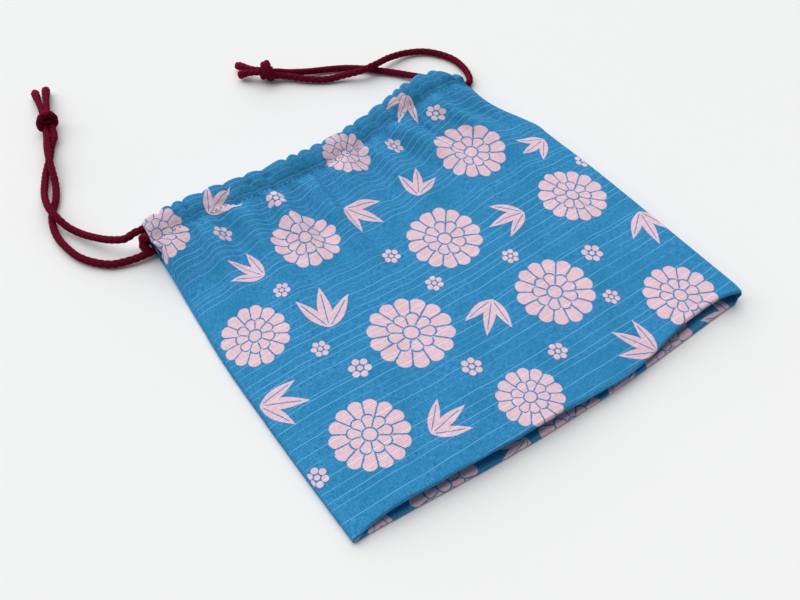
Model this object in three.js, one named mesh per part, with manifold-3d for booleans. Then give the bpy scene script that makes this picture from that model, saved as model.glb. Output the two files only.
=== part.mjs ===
// Drawstring pouch of printed slub cotton, lying on its back with the mouth half drawn.
// Millimetres. +X runs along the mouth, +Y from the bottom edge to the mouth, +Z up through the front.
import * as THREE from "three";
import { mergeVertices } from "three/addons/utils/BufferGeometryUtils.js";
import Module from "manifold-3d";

const wasm = await Module();
wasm.setup();

// Sewn cloth
const POUCH_WIDTH = 200;
const POUCH_LENGTH = 194;
const LEFT_MOUTH = 93;
const LEFT_TAPER = 1.7;
const RIGHT_MOUTH = 86;
const RIGHT_NECK_FROM = 40;
const RIGHT_NECK_TO = 78;
const FRONT_GATHER = 2;
const CLOTH = 0.7;
const SEAM_WIDTH = 2.5;
const BOTTOM_BOW = 6.5;
const MOUTH_SKEW = 5;
const MOUTH_SAG = 8;
const SAG_MIDDLE = -0.08;
const SAG_SPAN = 0.9;

// Bottom gusset, folded inward between front and back
const TUCK_DEPTH = 30;
const TUCK_GAP = 5;
const TUCK_FOLD = 0.6;
const FRONT_SETBACK = 4;
const SETBACK_WAVE = 4;

// Swell and gathers of the front
const FRONT_PUFF = 2;
const SIDE_ROUNDING = 6;
const SIDE_RISE = 35;
const RIGHT_ROLL = 6;
const FOLD_COUNT = 9;
const FOLD_DEPTH = 1.8;
const FOLD_REACH = 17;
const PUCKER_COUNT = 20;
const PUCKER_DEPTH = 0.9;
const PUCKER_REACH = 7;
const FOLD_WANDER = 1.3;
const PUCKER_WANDER = 1;

// Drawcords, two in each casing
const CORD_DIAMETER = 3.6;
const CORD_CLEARANCE = 0.4;
const CORD_SPACING = 2.4;
const CORD_SIDES = 8;
const RUN_OUT = 1.5;
const TURN_REACH = 0.8;

// Casings along the mouth
const STITCH_MARGIN = 2;
const BACK_SETBACK = 2;
const MOUTH_GAP = 5.2;
const MOUTH_GAP_END = 1.2;
const RIGHT_LIFT = 6;
const LIFT_FROM = 0.2;
const LIFT_TO = 1;
const OPEN_END_LENGTH = 15;

// Knots that join the two ends of each cord
const KNOT_DIAMETER = 11;
const KNOT_LENGTH = 11;
const KNOT_SIDES = 12;
const TAIL_BEND = 1;
const TOUCH_GAP = 0.3;
const KNOT_OFFSET = (CORD_DIAMETER + TOUCH_GAP) / 2;

// Free stretches of cord: X and Y from the front casing's end, Z above the table
const LEFT_FRONT_STRAND = [
  [-8.0, 3.5, 8.5], [-13.1, 8.5, 6.7], [-17.3, 15.6, 4.7], [-21.3, 23.9, 3.1],
  [-24.4, 31.0, 3.5], [-26.2, 37.6, 5.3], [-26.7, 43.6, 5.9], [-25.1, 52.8, 4.9],
  [-21.1, 63.6, 2.7], [-16.5, 72.6, 1.9], [-11.4, 80.4, 1.9], [-6.0, 87.6, 2.9],
];
const LEFT_BACK_STRAND = [
  [-7.8, -4.2, 2.4], [-13.4, -2.6, 2.0], [-18.1, -0.6, 1.9], [-23.1, 4.2, 1.9],
  [-27.5, 11.1, 1.9], [-29.7, 19.7, 1.9], [-30.3, 28.7, 1.9], [-28.7, 37.6, 1.9],
  [-25.7, 44.8, 1.9], [-20.9, 51.8, 1.9], [-16.9, 60.6, 2.5], [-14.9, 67.5, 4.3],
  [-12.9, 75.1, 5.9], [-10.3, 86.0, 5.4],
];
const LEFT_KNOT = { place: [-1.8, 103.4], heading: [0.28, 0.96], tails: [[3.4, 132.3], [9.1, 131.5]] };
const RIGHT_FRONT_STRAND = [
  [-9.6, -3.0, 16.7], [-5.2, -2.4, 14.4], [-2.2, 0.2, 11.6], [-0.9, 4.6, 9.2],
  [-1.3, 9.0, 7.4], [-2.5, 13.0, 6.0], [-3.9, 17.0, 4.7], [-6.0, 22.6, 3.2],
  [-9.4, 28.8, 2.2], [-14.0, 35.0, 1.9], [-19.4, 40.8, 1.9], [-24.6, 46.4, 1.9],
  [-32.0, 52.2, 1.9], [-40.2, 56.7, 1.9], [-48.5, 61.1, 2.2],
];
const RIGHT_BACK_STRAND = [
  [9.0, 3.4, 2.4], [13.9, 5.2, 2.2], [17.1, 10.6, 2.0], [18.7, 17.0, 1.9],
  [18.9, 23.8, 1.9], [16.6, 31.2, 1.9], [10.8, 39.3, 1.9], [2.3, 43.7, 2.2],
  [-9.3, 43.8, 4.0], [-21.3, 41.1, 5.9], [-29.6, 42.2, 5.0], [-36.0, 46.1, 3.0],
  [-44.8, 49.7, 2.0], [-52.9, 54.2, 2.2],
];
const RIGHT_KNOT = { place: [-68.6, 69.9], heading: [-0.84, 0.54], tails: [[-80.3, 78.8], [-77.1, 86.8]] };

// Sizes that follow from those above
const HALF_LENGTH = POUCH_LENGTH / 2;
const CORD_OFFSET = (CORD_DIAMETER + CORD_SPACING) / 2;
const TUNNEL_RISE = CORD_DIAMETER / 2 + CORD_CLEARANCE;
const TUNNEL_HALF = CORD_OFFSET + TUNNEL_RISE;
const CASING_RISE = TUNNEL_RISE + CLOTH;
const CASING_HALF = TUNNEL_HALF + CLOTH;
const BACK_CASING_TOP = 2 * CASING_RISE;
const SEAM_HEIGHT = 4 * CLOTH;
const LIP = 1.2 * CLOTH;
const BACK_LIP_RISE = 1.5 * CLOTH;
const FRONT_LIP_DROP = 2.2 * CLOTH;
const GUSSET_HALF = TUCK_FOLD / 2 + CLOTH;
const PAST_EDGE = 12;

// How far a line of points runs toward the sides: to the edge, to the seam, or out past the edge
const TO_EDGE = 1;
const TO_SEAM = 1 - SEAM_WIDTH / (POUCH_WIDTH / 2);
const PAST_SIDE = 1 + (2 * PAST_EDGE) / POUCH_WIDTH;

// Facets across the pouch
const GATHER_COLUMNS = 4 * PUCKER_COUNT;
const PANEL_COLUMNS = 40;
const FLAT_COLUMNS = 10;
const TUNNEL_COLUMNS = 40;
const PANEL_ROWS = 11;
const GATHER_ROWS = 5;
const ROW_CROWDING = 1.6;
const FLAT_ROWS = [0.2, 0.4, 0.6, 0.8];
const RUN_POINTS = 18;
// The right cord comes out of the front casing this many points before its end
const EARLY_EXIT = 3;
const TURN_ANGLES = [30, 60, 90, 120, 150];

// Across the pouch u runs from -1 at the left edge to 1 at the right edge.
// At the mouth the front is gathered in a little further than the back.
function sideEdge(y, side, gather) {
  const rise = THREE.MathUtils.clamp((y + HALF_LENGTH) / POUCH_LENGTH, 0, 1);
  const neck = THREE.MathUtils.smoothstep(y, RIGHT_NECK_FROM, RIGHT_NECK_TO);
  const mouth = (side < 0 ? LEFT_MOUTH : RIGHT_MOUTH) - gather;
  const drawnIn = side < 0 ? rise ** LEFT_TAPER : neck;
  return POUCH_WIDTH / 2 - (POUCH_WIDTH / 2 - mouth) * drawnIn;
}

function bottomEdge(u) {
  return -HALF_LENGTH + BOTTOM_BOW * u ** 2;
}

// The front's bottom edge lies back from the back's, more so toward the right corner.
function frontEdge(u) {
  return bottomEdge(u) + (FRONT_SETBACK + SETBACK_WAVE * Math.max(u, 0) ** 2) * (1 - u ** 8);
}

// The mouth lies a little askew and sags between its two ends.
function mouthEdge(u) {
  const off = THREE.MathUtils.clamp((u - SAG_MIDDLE) / SAG_SPAN, -1, 1);
  const sag = MOUTH_SAG * Math.cos((Math.PI * off) / 2) ** 2;
  return HALF_LENGTH - PUCKER_DEPTH - (MOUTH_SKEW * (1 - u)) / 2 - sag;
}

function frontTunnelY(u) {
  return mouthEdge(u) - CASING_HALF;
}

function backTunnelY(u) {
  return frontTunnelY(u) - (BACK_SETBACK * (1 - u)) / 2;
}

// The casings lie close together at the left end and stand apart at the right end.
function frontTunnelZ(u) {
  const gap = MOUTH_GAP_END + (MOUTH_GAP - MOUTH_GAP_END) * (1 - u ** 4);
  const lift = RIGHT_LIFT * THREE.MathUtils.smoothstep(u, LIFT_FROM, LIFT_TO);
  return BACK_CASING_TOP + gap + lift + CASING_RISE;
}

function stitchBelow(tunnelY) {
  return tunnelY - CASING_HALF - STITCH_MARGIN;
}

// Depth of the scallops that the drawn cords pucker into the casings, from 0 to 1
function pucker(u) {
  return 0.5 + 0.5 * Math.cos(Math.PI * PUCKER_COUNT * u + PUCKER_WANDER * Math.sin(4 * u));
}

// Slower folds that run down the front from the gathers, from -1 to 1
function fold(u) {
  return Math.sin(Math.PI * FOLD_COUNT * u + FOLD_WANDER * Math.sin(3 * u + 1));
}

// Upper face of the front panel
function frontZ(u, y) {
  const stitch = stitchBelow(frontTunnelY(u));
  const span = stitch - frontEdge(u);
  const below = Math.max(stitch - y, 0);
  const rise = 1 - below / span;
  const bottom = SEAM_HEIGHT + TUCK_GAP;
  const top = frontTunnelZ(u) + CLOTH;
  const crown = bottom + (top - bottom) * rise ** 2 + 4 * FRONT_PUFF * rise * (1 - rise);
  const lift = THREE.MathUtils.smoothstep(below, 0, SIDE_RISE);
  const roll = RIGHT_ROLL * Math.max(u, 0) * Math.sin(Math.PI * rise);
  const edge = top + (SEAM_HEIGHT + roll - top) * lift;
  const reach = below / FOLD_REACH;
  const folds = FOLD_DEPTH * reach * Math.exp(1 - reach) * fold(u);
  const puckers = PUCKER_DEPTH * Math.exp(-below / PUCKER_REACH) * pucker(u);
  return edge + (crown - edge + folds + puckers) * (1 - Math.abs(u) ** SIDE_ROUNDING);
}

// One line of points across the pouch, from side to side
function row(columns, gather, reach, profile) {
  const points = [];
  for (let i = 0; i <= columns; i += 1) {
    const across = reach * ((2 * i) / columns - 1);
    const [y, z] = profile(THREE.MathUtils.clamp(across, -1, 1));
    points.push(new THREE.Vector3(across * sideEdge(y, across, gather), y, z));
  }
  return points;
}

const frontRow = (columns, reach, profile) => row(columns, FRONT_GATHER, reach, profile);
const backRow = (columns, reach, profile) => row(columns, 0, reach, profile);

// Heights of the front panel's rows, from just under the casing to the bottom edge
function panelRows(reach, lowest, drop) {
  const rows = [];
  for (let k = 1; k <= PANEL_ROWS; k += 1) {
    const down = (k / PANEL_ROWS) ** ROW_CROWDING;
    const columns = k <= GATHER_ROWS ? GATHER_COLUMNS : PANEL_COLUMNS;
    rows.push(
      frontRow(columns, reach, (u) => {
        const y = THREE.MathUtils.lerp(stitchBelow(frontTunnelY(u)), lowest(u), down);
        return [y, frontZ(u, y) - drop];
      }),
    );
  }
  return rows;
}

// Rows along the flat back from the bottom edge to the back casing
function flatRows(reach, lowest, height) {
  return FLAT_ROWS.map((share) =>
    backRow(FLAT_COLUMNS, reach, (u) => [
      THREE.MathUtils.lerp(lowest(u), stitchBelow(backTunnelY(u)), share),
      height,
    ]),
  );
}

// Closed solid through rows that go once round it: back, mouth, front, bottom
function loft(rows) {
  const points = rows.flat();
  const starts = [];
  let count = 0;
  for (const line of rows) {
    starts.push(count);
    count += line.length;
  }
  const triangles = [];
  rows.forEach((line, k) => {
    const next = (k + 1) % rows.length;
    stitchRows(triangles, starts[k], line.length - 1, starts[next], rows[next].length - 1);
  });
  closeEnd(triangles, points, starts, -1);
  closeEnd(triangles, points, rows.map((line, k) => starts[k] + line.length - 1), 1);
  return solidOf(points.flatMap((p) => p.toArray()), triangles);
}

// Triangles between two neighbouring rows, which may have different numbers of columns
function stitchRows(triangles, first, firstColumns, second, secondColumns) {
  let i = 0;
  let j = 0;
  while (i < firstColumns || j < secondColumns) {
    const firstNext = (i + 1) / firstColumns;
    const secondNext = (j + 1) / secondColumns;
    if (j === secondColumns || (i < firstColumns && firstNext <= secondNext)) {
      triangles.push(first + i, second + j, first + i + 1);
      i += 1;
    } else {
      triangles.push(first + i, second + j, second + j + 1);
      j += 1;
    }
  }
}

// Flat cap over the ends of all rows at one side
function closeEnd(triangles, points, ring, side) {
  const outline = ring.map((index) => new THREE.Vector2(points[index].y, points[index].z));
  for (const [a, b, c] of THREE.ShapeUtils.triangulateShape(outline, [])) {
    const turn = THREE.ShapeUtils.area([outline[a], outline[b], outline[c]]);
    const order = turn * side > 0 ? [a, b, c] : [a, c, b];
    triangles.push(...order.map((index) => ring[index]));
  }
}

function solidOf(positions, triangles) {
  const mesh = new wasm.Mesh({
    numProp: 3,
    vertProperties: new Float32Array(positions),
    triVerts: new Uint32Array(triangles),
  });
  return new wasm.Manifold(mesh);
}

function solidOfGeometry(geometry) {
  const closed = weld(geometry);
  return solidOf(closed.attributes.position.array, closed.index.array);
}

function weld(geometry) {
  geometry.deleteAttribute("normal");
  geometry.deleteAttribute("uv");
  return mergeVertices(geometry);
}

function geometryOf(solid) {
  const mesh = solid.getMesh();
  const geometry = new THREE.BufferGeometry();
  geometry.setAttribute("position", new THREE.BufferAttribute(mesh.vertProperties, 3));
  geometry.setIndex(new THREE.BufferAttribute(mesh.triVerts, 1));
  return geometry;
}

// Rounded nose of a casing at the mouth, row by row round its angles in degrees
function noseRows(makeRow, tunnelY, tunnelZ, topScallop, angles) {
  return angles.map((degrees) => {
    const angle = THREE.MathUtils.degToRad(degrees);
    const upward = Math.max(Math.sin(angle), 0);
    return makeRow(GATHER_COLUMNS, TO_EDGE, (u) => {
      const scallop = PUCKER_DEPTH * pucker(u);
      const y = tunnelY(u) + CORD_OFFSET + (CASING_RISE + scallop) * Math.cos(angle);
      const z = tunnelZ(u) + CASING_RISE * Math.sin(angle);
      return [y, z + topScallop * scallop * upward];
    });
  });
}

// Inner face of a casing on the side away from the mouth, row by row round its angles in degrees
function heelRows(makeRow, tunnelY, tunnelZ, angles) {
  return angles.map((degrees) => {
    const angle = THREE.MathUtils.degToRad(degrees);
    return makeRow(PANEL_COLUMNS, PAST_SIDE, (u) => [
      tunnelY(u) - CORD_OFFSET + CASING_RISE * Math.cos(angle),
      tunnelZ(u) + CASING_RISE * Math.sin(angle),
    ]);
  });
}

const backTunnelZ = () => CASING_RISE;

// Outside of the cloth with everything inside it filled
function makeEnvelope() {
  return loft([
    backRow(PANEL_COLUMNS, TO_EDGE, (u) => [bottomEdge(u) + LIP, 0]),
    ...flatRows(TO_EDGE, bottomEdge, 0),
    ...noseRows(backRow, backTunnelY, backTunnelZ, 0, [-90, -45, 0, 60]),
    ...noseRows(frontRow, frontTunnelY, frontTunnelZ, 1, [-60, -20, 20, 55, 90]),
    frontRow(GATHER_COLUMNS, TO_EDGE, (u) => [
      frontTunnelY(u) - CORD_OFFSET,
      frontTunnelZ(u) + CASING_RISE + PUCKER_DEPTH * pucker(u),
    ]),
    frontRow(GATHER_COLUMNS, TO_EDGE, (u) => {
      const y = stitchBelow(frontTunnelY(u));
      return [y, frontZ(u, y)];
    }),
    ...panelRows(TO_EDGE, (u) => frontEdge(u) + LIP, 0),
    frontRow(PANEL_COLUMNS, TO_EDGE, (u) => [frontEdge(u), frontZ(u, frontEdge(u)) - CLOTH]),
    frontRow(PANEL_COLUMNS, TO_EDGE, (u) => [frontEdge(u) + LIP, frontZ(u, frontEdge(u)) - FRONT_LIP_DROP]),
    backRow(PANEL_COLUMNS, TO_EDGE, (u) => [bottomEdge(u) + LIP, BACK_LIP_RISE]),
    backRow(PANEL_COLUMNS, TO_EDGE, (u) => [bottomEdge(u), CLOTH]),
  ]);
}

const tuckFold = (u) => bottomEdge(u) + TUCK_DEPTH;
const tuckMiddle = (u) => frontZ(u, tuckFold(u)) / 2;

// Room inside the pouch, open at the mouth and between the ends of the casings
function makeInside() {
  const lowest = (u) => bottomEdge(u) + SEAM_HEIGHT;
  const frontLowest = (u) => frontEdge(u) + SEAM_HEIGHT;
  const past = HALF_LENGTH + PAST_EDGE;
  return loft([
    backRow(PANEL_COLUMNS, TO_SEAM, (u) => [lowest(u), CLOTH]),
    ...flatRows(TO_SEAM, lowest, CLOTH),
    backRow(PANEL_COLUMNS, TO_SEAM, (u) => [stitchBelow(backTunnelY(u)) - STITCH_MARGIN, CLOTH]),
    backRow(PANEL_COLUMNS, TO_SEAM, (u) => [stitchBelow(backTunnelY(u)), 2 * CLOTH]),
    ...heelRows(backRow, backTunnelY, backTunnelZ, [160, 125, 90]),
    backRow(PANEL_COLUMNS, PAST_SIDE, () => [past, BACK_CASING_TOP]),
    frontRow(PANEL_COLUMNS, PAST_SIDE, (u) => [past, frontTunnelZ(u) - CASING_RISE]),
    ...heelRows(frontRow, frontTunnelY, frontTunnelZ, [-90, -135]),
    frontRow(GATHER_COLUMNS, TO_SEAM, (u) => [
      stitchBelow(frontTunnelY(u)),
      frontTunnelZ(u) - CLOTH,
    ]),
    ...panelRows(TO_SEAM, frontLowest, CLOTH),
    frontRow(PANEL_COLUMNS, TO_SEAM, (u) => [tuckFold(u), tuckMiddle(u) + GUSSET_HALF]),
    frontRow(PANEL_COLUMNS, TO_SEAM, (u) => [tuckFold(u) + CLOTH, tuckMiddle(u)]),
    backRow(PANEL_COLUMNS, TO_SEAM, (u) => [tuckFold(u), tuckMiddle(u) - GUSSET_HALF]),
  ]);
}

// Room between the two halves of the gusset, open at the bottom edge
function makeTuck() {
  const past = -HALF_LENGTH - PAST_EDGE;
  const upper = (u) => frontZ(u, frontEdge(u)) - 2 * CLOTH;
  return loft([
    backRow(PANEL_COLUMNS, TO_SEAM, () => [past, 2 * CLOTH]),
    backRow(PANEL_COLUMNS, TO_SEAM, (u) => [bottomEdge(u) + LIP, 2 * CLOTH]),
    backRow(PANEL_COLUMNS, TO_SEAM, (u) => [tuckFold(u), tuckMiddle(u) - TUCK_FOLD / 2]),
    frontRow(PANEL_COLUMNS, TO_SEAM, (u) => [tuckFold(u), tuckMiddle(u) + TUCK_FOLD / 2]),
    frontRow(PANEL_COLUMNS, TO_SEAM, (u) => [frontEdge(u) + LIP, upper(u)]),
    frontRow(PANEL_COLUMNS, TO_SEAM, (u) => [past, upper(u)]),
  ]);
}

// Tunnel of one casing, wide enough for two cords side by side
function makeTunnel(makeRow, tunnelY, tunnelZ) {
  const rows = [];
  for (const [middle, from] of [[1, -90], [-1, 90]]) {
    for (const step of [0, 45, 90, 135, 180]) {
      const angle = THREE.MathUtils.degToRad(from + step);
      rows.push(
        makeRow(TUNNEL_COLUMNS, PAST_SIDE, (u) => [
          tunnelY(u) + middle * CORD_OFFSET + TUNNEL_RISE * Math.cos(angle),
          tunnelZ(u) + TUNNEL_RISE * Math.sin(angle),
        ]),
      );
    }
  }
  return loft(rows);
}

// The front casing's right end is open underneath, where the right cord comes out
function makeOpenEnd() {
  const low = new THREE.Vector3(
    RIGHT_MOUTH - FRONT_GATHER - OPEN_END_LENGTH,
    frontTunnelY(1) - TUNNEL_HALF,
    BACK_CASING_TOP + MOUTH_GAP_END / 2,
  );
  const high = new THREE.Vector3(RIGHT_MOUTH + PAST_EDGE, HALF_LENGTH + PAST_EDGE, frontTunnelZ(1));
  const size = high.clone().sub(low);
  const box = new THREE.BoxGeometry(size.x, size.y, size.z);
  return solidOfGeometry(box.translate(...low.add(high).multiplyScalar(0.5).toArray()));
}

function makePouch() {
  const cloth = makeEnvelope()
    .subtract(makeInside())
    .subtract(makeTuck())
    .subtract(makeTunnel(frontRow, frontTunnelY, frontTunnelZ))
    .subtract(makeTunnel(backRow, backTunnelY, backTunnelZ))
    .subtract(makeOpenEnd());
  return geometryOf(cloth);
}

// Middle line of one cord inside a casing, from the left end to the right end
function casingRun(gather, tunnelY, tunnelZ, offset) {
  const points = [];
  for (let i = 0; i <= RUN_POINTS; i += 1) {
    const u = (2 * i) / RUN_POINTS - 1;
    const y = tunnelY(u) + offset;
    points.push(new THREE.Vector3(u * sideEdge(y, u, gather), y, tunnelZ(u)));
  }
  const [first, last] = [points[0].clone(), points[RUN_POINTS].clone()];
  return [first.setX(-runEnd(-1)), ...points, last.setX(runEnd(1))];
}

// Where the cords of both casings have left the cloth
function runEnd(side) {
  return sideEdge(backTunnelY(side) - CORD_OFFSET, side, 0) + RUN_OUT;
}

// Half turn from the end of the front casing to the end of the back casing
function endTurn(from, to, side) {
  const middle = from.clone().add(to).multiplyScalar(0.5);
  const arm = from.clone().sub(middle);
  const reach = TURN_REACH * arm.length();
  const outward = new THREE.Vector3(side, 0, 0);
  return TURN_ANGLES.map((degrees) => {
    const angle = THREE.MathUtils.degToRad(degrees);
    const point = middle.clone().addScaledVector(arm, Math.cos(angle));
    return point.addScaledVector(outward, reach * Math.sin(angle));
  });
}

function circle(radius, sides) {
  const points = [];
  for (let i = 0; i < sides; i += 1) {
    const angle = (2 * Math.PI * (i + 0.5)) / sides;
    points.push(new THREE.Vector2(radius * Math.cos(angle), radius * Math.sin(angle)));
  }
  return new THREE.Shape(points);
}

// Smooth line whose evenly numbered steps fall on the points it was given
class CordPath extends THREE.CatmullRomCurve3 {
  getUtoTmapping(u) {
    return u;
  }
}

function tube(points) {
  const extrudePath = new CordPath(points);
  const steps = points.length - 1;
  return new THREE.ExtrudeGeometry(circle(CORD_DIAMETER / 2, CORD_SIDES), { extrudePath, steps });
}

// Where a knot lies, and the way its cord runs into it
function knotFrame(side, knot) {
  const origin = casingEnd(side);
  const heading = new THREE.Vector3(...knot.heading, 0).normalize();
  return {
    origin,
    heading,
    across: new THREE.Vector3(heading.y, -heading.x, 0),
    middle: new THREE.Vector3(origin.x + knot.place[0], origin.y + knot.place[1], KNOT_DIAMETER / 2),
  };
}

function casingEnd(side) {
  const y = frontTunnelY(side);
  return new THREE.Vector3(side * sideEdge(y, side, FRONT_GATHER), y, 0);
}

// Two points that bring a strand straight into its knot, face to face
function knotApproach(frame, shift) {
  return [CORD_DIAMETER, 0].map((back) =>
    frame.middle
      .clone()
      .addScaledVector(frame.heading, -KNOT_LENGTH / 2 - TOUCH_GAP - back)
      .addScaledVector(frame.across, shift),
  );
}

// Route of one cord: from its knot through the front casing, round the far end, and home through the back one
function cordRoute(side, knot, frontStrand, backStrand) {
  const frame = knotFrame(side, knot);
  const place = ([x, y, z]) => new THREE.Vector3(frame.origin.x + x, frame.origin.y + y, z);
  const offset = -side * CORD_OFFSET;
  const front = casingRun(FRONT_GATHER, frontTunnelY, frontTunnelZ, offset);
  const back = casingRun(0, backTunnelY, backTunnelZ, -offset);
  if (side > 0) {
    front.reverse().splice(0, EARLY_EXIT);
    back.reverse();
  }
  const turn = endTurn(front.at(-1), back.at(-1), -side);
  return [
    ...knotApproach(frame, KNOT_OFFSET).reverse(),
    ...frontStrand.map(place).reverse(),
    ...front,
    ...turn,
    ...back.reverse(),
    ...backStrand.map(place),
    ...knotApproach(frame, -KNOT_OFFSET),
  ];
}

function makeCord(side, knot, frontStrand, backStrand) {
  return weld(tube(cordRoute(side, knot, frontStrand, backStrand)));
}

// Knot as a barrel with the two cut cord ends standing out of it
function makeKnot(side, knot) {
  const frame = knotFrame(side, knot);
  const faceRadius = KNOT_OFFSET + CORD_DIAMETER / 2;
  const profile = [new THREE.Vector2(0, -KNOT_LENGTH / 2)];
  for (const share of [-1, -0.6, 0, 0.6, 1]) {
    const radius = THREE.MathUtils.lerp(KNOT_DIAMETER / 2, faceRadius, share ** 2);
    profile.push(new THREE.Vector2(radius, (share * KNOT_LENGTH) / 2));
  }
  profile.push(new THREE.Vector2(0, KNOT_LENGTH / 2));
  const barrel = new THREE.LatheGeometry(profile, KNOT_SIDES);
  const turn = new THREE.Quaternion().setFromUnitVectors(new THREE.Vector3(0, 1, 0), frame.heading);
  barrel.applyQuaternion(turn).translate(...frame.middle.toArray());
  let solid = solidOfGeometry(barrel);
  knot.tails.forEach(([x, y], k) => {
    const shift = (k === 0 ? -1 : 1) * KNOT_OFFSET;
    const root = frame.middle.clone().addScaledVector(frame.across, shift);
    const tip = new THREE.Vector3(frame.origin.x + x, frame.origin.y + y, CORD_DIAMETER / 2);
    const face = root.clone().addScaledVector(frame.heading, KNOT_LENGTH / 2);
    const bend = face.clone().lerp(tip, 0.5).addScaledVector(frame.heading, TAIL_BEND);
    solid = solid.add(solidOfGeometry(tube([root, face, bend, tip])));
  });
  return geometryOf(solid);
}

function addMesh(group, name, geometry, material) {
  geometry.computeVertexNormals();
  const mesh = new THREE.Mesh(geometry, material.clone());
  mesh.name = name;
  group.add(mesh);
}

const clothFinish = new THREE.MeshStandardMaterial({ color: 0x3d86b4, roughness: 0.9, metalness: 0 });
const cordFinish = new THREE.MeshStandardMaterial({ color: 0x5f1226, roughness: 0.7, metalness: 0 });

const pouch = new THREE.Group();
addMesh(pouch, "pouch_body", makePouch(), clothFinish);
addMesh(pouch, "left_cord", makeCord(-1, LEFT_KNOT, LEFT_FRONT_STRAND, LEFT_BACK_STRAND), cordFinish);
addMesh(pouch, "left_knot", makeKnot(-1, LEFT_KNOT), cordFinish);
addMesh(pouch, "right_cord", makeCord(1, RIGHT_KNOT, RIGHT_FRONT_STRAND, RIGHT_BACK_STRAND), cordFinish);
addMesh(pouch, "right_knot", makeKnot(1, RIGHT_KNOT), cordFinish);

export default pouch;
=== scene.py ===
import math

import bpy
import numpy as np
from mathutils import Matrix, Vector


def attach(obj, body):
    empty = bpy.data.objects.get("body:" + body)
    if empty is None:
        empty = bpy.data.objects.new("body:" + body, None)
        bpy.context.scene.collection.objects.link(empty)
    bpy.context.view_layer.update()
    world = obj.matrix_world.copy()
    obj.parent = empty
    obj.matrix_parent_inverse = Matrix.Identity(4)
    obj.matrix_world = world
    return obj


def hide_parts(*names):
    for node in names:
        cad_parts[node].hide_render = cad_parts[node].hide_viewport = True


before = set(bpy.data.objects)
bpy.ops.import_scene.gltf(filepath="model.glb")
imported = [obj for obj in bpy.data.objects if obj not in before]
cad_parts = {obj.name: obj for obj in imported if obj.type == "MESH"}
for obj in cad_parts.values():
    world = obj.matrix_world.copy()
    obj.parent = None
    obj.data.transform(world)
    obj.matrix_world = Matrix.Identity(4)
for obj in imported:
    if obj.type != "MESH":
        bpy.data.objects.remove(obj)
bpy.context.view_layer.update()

# Sewn cloth, metres: +X along the mouth, +Y from the bottom edge to the mouth, +Z up
HALF_WIDTH = 0.1
LENGTH = 0.194
HALF_LENGTH = LENGTH / 2
LEFT_MOUTH = 0.093
LEFT_TAPER = 1.7
RIGHT_MOUTH = 0.086
RIGHT_NECK = (0.04, 0.078)
FRONT_GATHER = 0.002
CLOTH = 0.0007
SEAM_HEIGHT = 4 * CLOTH
BOTTOM_BOW = 0.0065
MOUTH_SKEW = 0.005
MOUTH_SAG = 0.008
SAG_MIDDLE = -0.08
SAG_SPAN = 0.9

# Bottom gusset, folded inward between front and back; a bell is a middle and a width
TUCK_DEPTH = 0.03
TUCK_GAP = 0.005
TUCK_HALF = 0.0004
TUCK_RIPPLE = 0.0003
FRONT_SETBACK = 0.004
SETBACK_WAVE = 0.004
FRONT_FOLD = 0.001
FRONT_FOLD_SHARE = 0.28
FRONT_TUCK_CURVE = 1.8
LIP_INSET = 0.002
BACK_FOLD = 0.0006
BACK_FOLD_LIFT = 0.0001
BACK_TUCK_CURVE = 2.2
DROOP_BELL = (0.32, 0.24)
DROOP_OUT = 0.0021
DROOP_DOWN = 0.0022
DROOP_REACH = 0.02

# Powers of the fall at the sides: the higher, the further out a measure stays level
EDGE_HOLD = 8
LIP_HOLD = 6
SIDE_ROUNDING = 6
GAPE_HOLD = 4

# Swell and folds of the front; a wander is a list of waves, each a size, a rate and a start
FRONT_PUFF = 0.002
SIDE_RISE = 0.035
RIGHT_ROLL = 0.006
CORNER_LIFT = 0.88
FOLD_COUNT = 9
FOLD_DEPTH = 0.0018
FOLD_REACH = 0.017
FOLD_WANDER = [(1.3, 3, 1)]

# Puckers of the casing and the creases below it; an uneven share is a base, a swing and a seed
PUCKER_COUNT = 20
PUCKER_DEPTH = 0.0009
GATHER_WANDER = [(1.7, 9, 1), (1.2, 17.3, 2), (0.45, 31, 0)]
SMALL_WANDER = [(1.5, 11, 0)]
WOBBLE = [(1.0, 7.3, 1.3), (0.7, 13.7, 2.1), (0.5, 29.1, 0.7)]
WOBBLE_TOTAL = 2.2
PUFF_HEIGHT = 0.0015
PUFF_SHEAR = 0.006
PUFF_SHARE = (1.0, 0.35, 2)
PUFF_GROWTH = 0.4
GROWTH_SPAN = (0.3, 0.9)
CREASE_DEPTH = 0.0017
CREASE_WIDTH = 0.32
CREASE_SPAN = (0.02, 0.4)
CREASE_FLOOR = 0.00145
CREASE_REACH = 0.009
CASING_CREASES = (0.7, 0.6, 9)
PANEL_CREASES = (0.6, 0.6, 9)
SMALL_CREASE = 0.0007
SMALL_REACH = 0.005
STITCH_PINCH = 0.0003
PINCH_REACH = 0.002
PANEL_SAG = 0.0055
PANEL_SAG_RISE = 0.028
PANEL_SAG_FADE = 0.085
CROSSED_WAVE = 0.0003
SLANTED_WAVE = 0.00025
# Wide and long creases: height, reach, pace beside the puckers, wander, slant, sharpness, uneven share
CREASE_LAYERS = [
    (0.0008, 0.007, 1.0, [(0.9, 9, 1)], 25, 0.9, (1, 0.5, 5)),
    (0.0013, 0.02, 0.5, [(1.1, 5, 2)], 14, 1.2, (1, 0.6, 7)),
]

# Side seams
SEAM_ROLL = 0.0012
SEAM_SHARE = 0.45
SEAM_BACK = 0.65
SEAM_CORNER = 0.0018
FRONT_CORNER = 0.0008
BACK_CORNER = 0.0028
CORNER_SPAN = (-0.092, -0.082)
LEFT_TUCK = 0.0028
LEFT_TUCK_SPAN = (-0.005, 0.07)
NECK_FILL = 0.0013
NECK_RISE = 0.001
NECK_RISE_SPAN = (0.5, 0.95)
NECK_BELL = (0.054, 0.013)

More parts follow.
